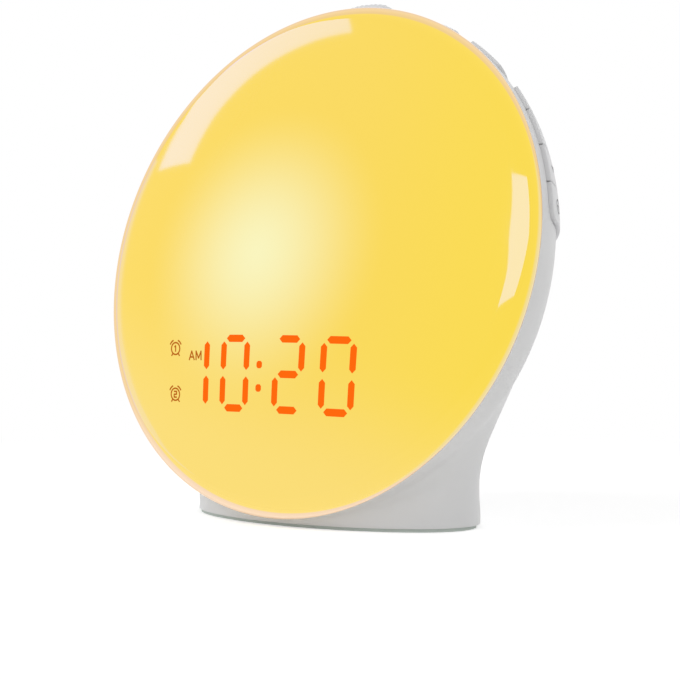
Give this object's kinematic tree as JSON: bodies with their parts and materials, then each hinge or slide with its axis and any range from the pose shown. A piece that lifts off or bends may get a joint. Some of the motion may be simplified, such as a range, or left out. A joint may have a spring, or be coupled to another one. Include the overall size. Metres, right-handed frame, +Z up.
{
  "type": "sunrise alarm clock",
  "caption": "Round lit face leaning back on an oval foot, with a large digital time display behind a domed diffuser and press keys round the shoulder.",
  "frame": {"origin": "centre of the resting face of the foot, on the table", "axes": "+Z up, +X to the right as the face is looked at, +Y to the back; the face looks along -Y and leans back"},
  "size_m": [0.178, 0.0825, 0.1757],
  "materials": {
    "lit_diffuser": "opal moulded lens, lit warm from behind",
    "housing_white": "satin moulded",
    "key_white": "satin moulded",
    "foot_rubber": "soft matt pad",
    "inner_white": "bright moulded",
    "inner_dark": "moulded",
    "segment_orange": "tinted windows",
    "circuit_board": "lacquered laminate",
    "chip_black": "moulded",
    "led_cream": "clear encapsulant",
    "steel": "plated",
    "brass_plate": "plated",
    "magnet_dark": "coated",
    "speaker_paper": "pressed",
    "gasket_foam": "foam"
  },
  "bodies": {
    "clock": {"front_diffuser": "lit_diffuser", "rear_housing": "housing_white", "base_plate": "housing_white", "base_pad": "foot_rubber", "base_screws": "steel", "battery_door": "housing_white", "battery_door_screw": "steel", "coin_cell": "steel", "battery_contacts": "brass_plate", "reflector_tray": "inner_white", "tray_screws": "steel", "light_board": "inner_white", "light_leds": "led_cream", "display_block": "inner_dark", "display_segments": "segment_orange", "display_board": "circuit_board", "display_posts": "brass_plate", "key_board": "circuit_board", "key_switches": "inner_dark", "main_board": "circuit_board", "main_chips": "chip_black", "board_screws": "steel", "speaker_gasket": "gasket_foam", "speaker_frame": "steel", "speaker_magnet": "magnet_dark", "speaker_cone": "speaker_paper", "speaker_screws": "steel", "power_board": "circuit_board", "dc_jack": "inner_dark"},
    "snooze_key": {"snooze_key": "key_white"},
    "right_key_1": {"right_key_1": "key_white"},
    "right_key_2": {"right_key_2": "key_white"},
    "right_key_3": {"right_key_3": "key_white"},
    "right_key_4": {"right_key_4": "key_white"},
    "right_key_5": {"right_key_5": "key_white"},
    "right_key_6": {"right_key_6": "key_white"},
    "left_key_1": {"left_key_1": "key_white"},
    "left_key_2": {"left_key_2": "key_white"},
    "left_key_3": {"left_key_3": "key_white"},
    "left_key_4": {"left_key_4": "key_white"},
    "left_key_5": {"left_key_5": "key_white"},
    "left_key_6": {"left_key_6": "key_white"}
  },
  "joints": [
    {"name": "snooze_key_press", "type": "slide", "parent": "clock", "child": "snooze_key", "axis": [0, -0.6842, -0.7293], "range_m": [0, 0.0005], "stiffness_N_per_m": 1500, "springref_m": -0.0002},
    {"name": "right_key_1_press", "type": "slide", "parent": "clock", "child": "right_key_1", "axis": [-0.3334, -0.668, -0.6653], "range_m": [0, 0.0005], "stiffness_N_per_m": 1500, "springref_m": -0.0002},
    {"name": "right_key_2_press", "type": "slide", "parent": "clock", "child": "right_key_2", "axis": [-0.5338, -0.6396, -0.5531], "range_m": [0, 0.0005], "stiffness_N_per_m": 1500, "springref_m": -0.0002},
    {"name": "right_key_3_press", "type": "slide", "parent": "clock", "child": "right_key_3", "axis": [-0.69, -0.6015, -0.4026], "range_m": [0, 0.0005], "stiffness_N_per_m": 1500, "springref_m": -0.0002},
    {"name": "right_key_4_press", "type": "slide", "parent": "clock", "child": "right_key_4", "axis": [-0.7614, -0.5753, -0.2988], "range_m": [0, 0.0005], "stiffness_N_per_m": 1500, "springref_m": -0.0002},
    {"name": "right_key_5_press", "type": "slide", "parent": "clock", "child": "right_key_5", "axis": [-0.8184, -0.5455, -0.181], "range_m": [0, 0.0005], "stiffness_N_per_m": 1500, "springref_m": -0.0002},
    {"name": "right_key_6_press", "type": "slide", "parent": "clock", "child": "right_key_6", "axis": [-0.8549, -0.5152, -0.0613], "range_m": [0, 0.0005], "stiffness_N_per_m": 1500, "springref_m": -0.0002},
    {"name": "left_key_1_press", "type": "slide", "parent": "clock", "child": "left_key_1", "axis": [0.3334, -0.668, -0.6653], "range_m": [0, 0.0005], "stiffness_N_per_m": 1500, "springref_m": -0.0002},
    {"name": "left_key_2_press", "type": "slide", "parent": "clock", "child": "left_key_2", "axis": [0.5338, -0.6396, -0.5531], "range_m": [0, 0.0005], "stiffness_N_per_m": 1500, "springref_m": -0.0002},
    {"name": "left_key_3_press", "type": "slide", "parent": "clock", "child": "left_key_3", "axis": [0.69, -0.6015, -0.4026], "range_m": [0, 0.0005], "stiffness_N_per_m": 1500, "springref_m": -0.0002},
    {"name": "left_key_4_press", "type": "slide", "parent": "clock", "child": "left_key_4", "axis": [0.7614, -0.5753, -0.2988], "range_m": [0, 0.0005], "stiffness_N_per_m": 1500, "springref_m": -0.0002},
    {"name": "left_key_5_press", "type": "slide", "parent": "clock", "child": "left_key_5", "axis": [0.8184, -0.5455, -0.181], "range_m": [0, 0.0005], "stiffness_N_per_m": 1500, "springref_m": -0.0002},
    {"name": "left_key_6_press", "type": "slide", "parent": "clock", "child": "left_key_6", "axis": [0.8549, -0.5152, -0.0613], "range_m": [0, 0.0005], "stiffness_N_per_m": 1500, "springref_m": -0.0002}
  ]
}
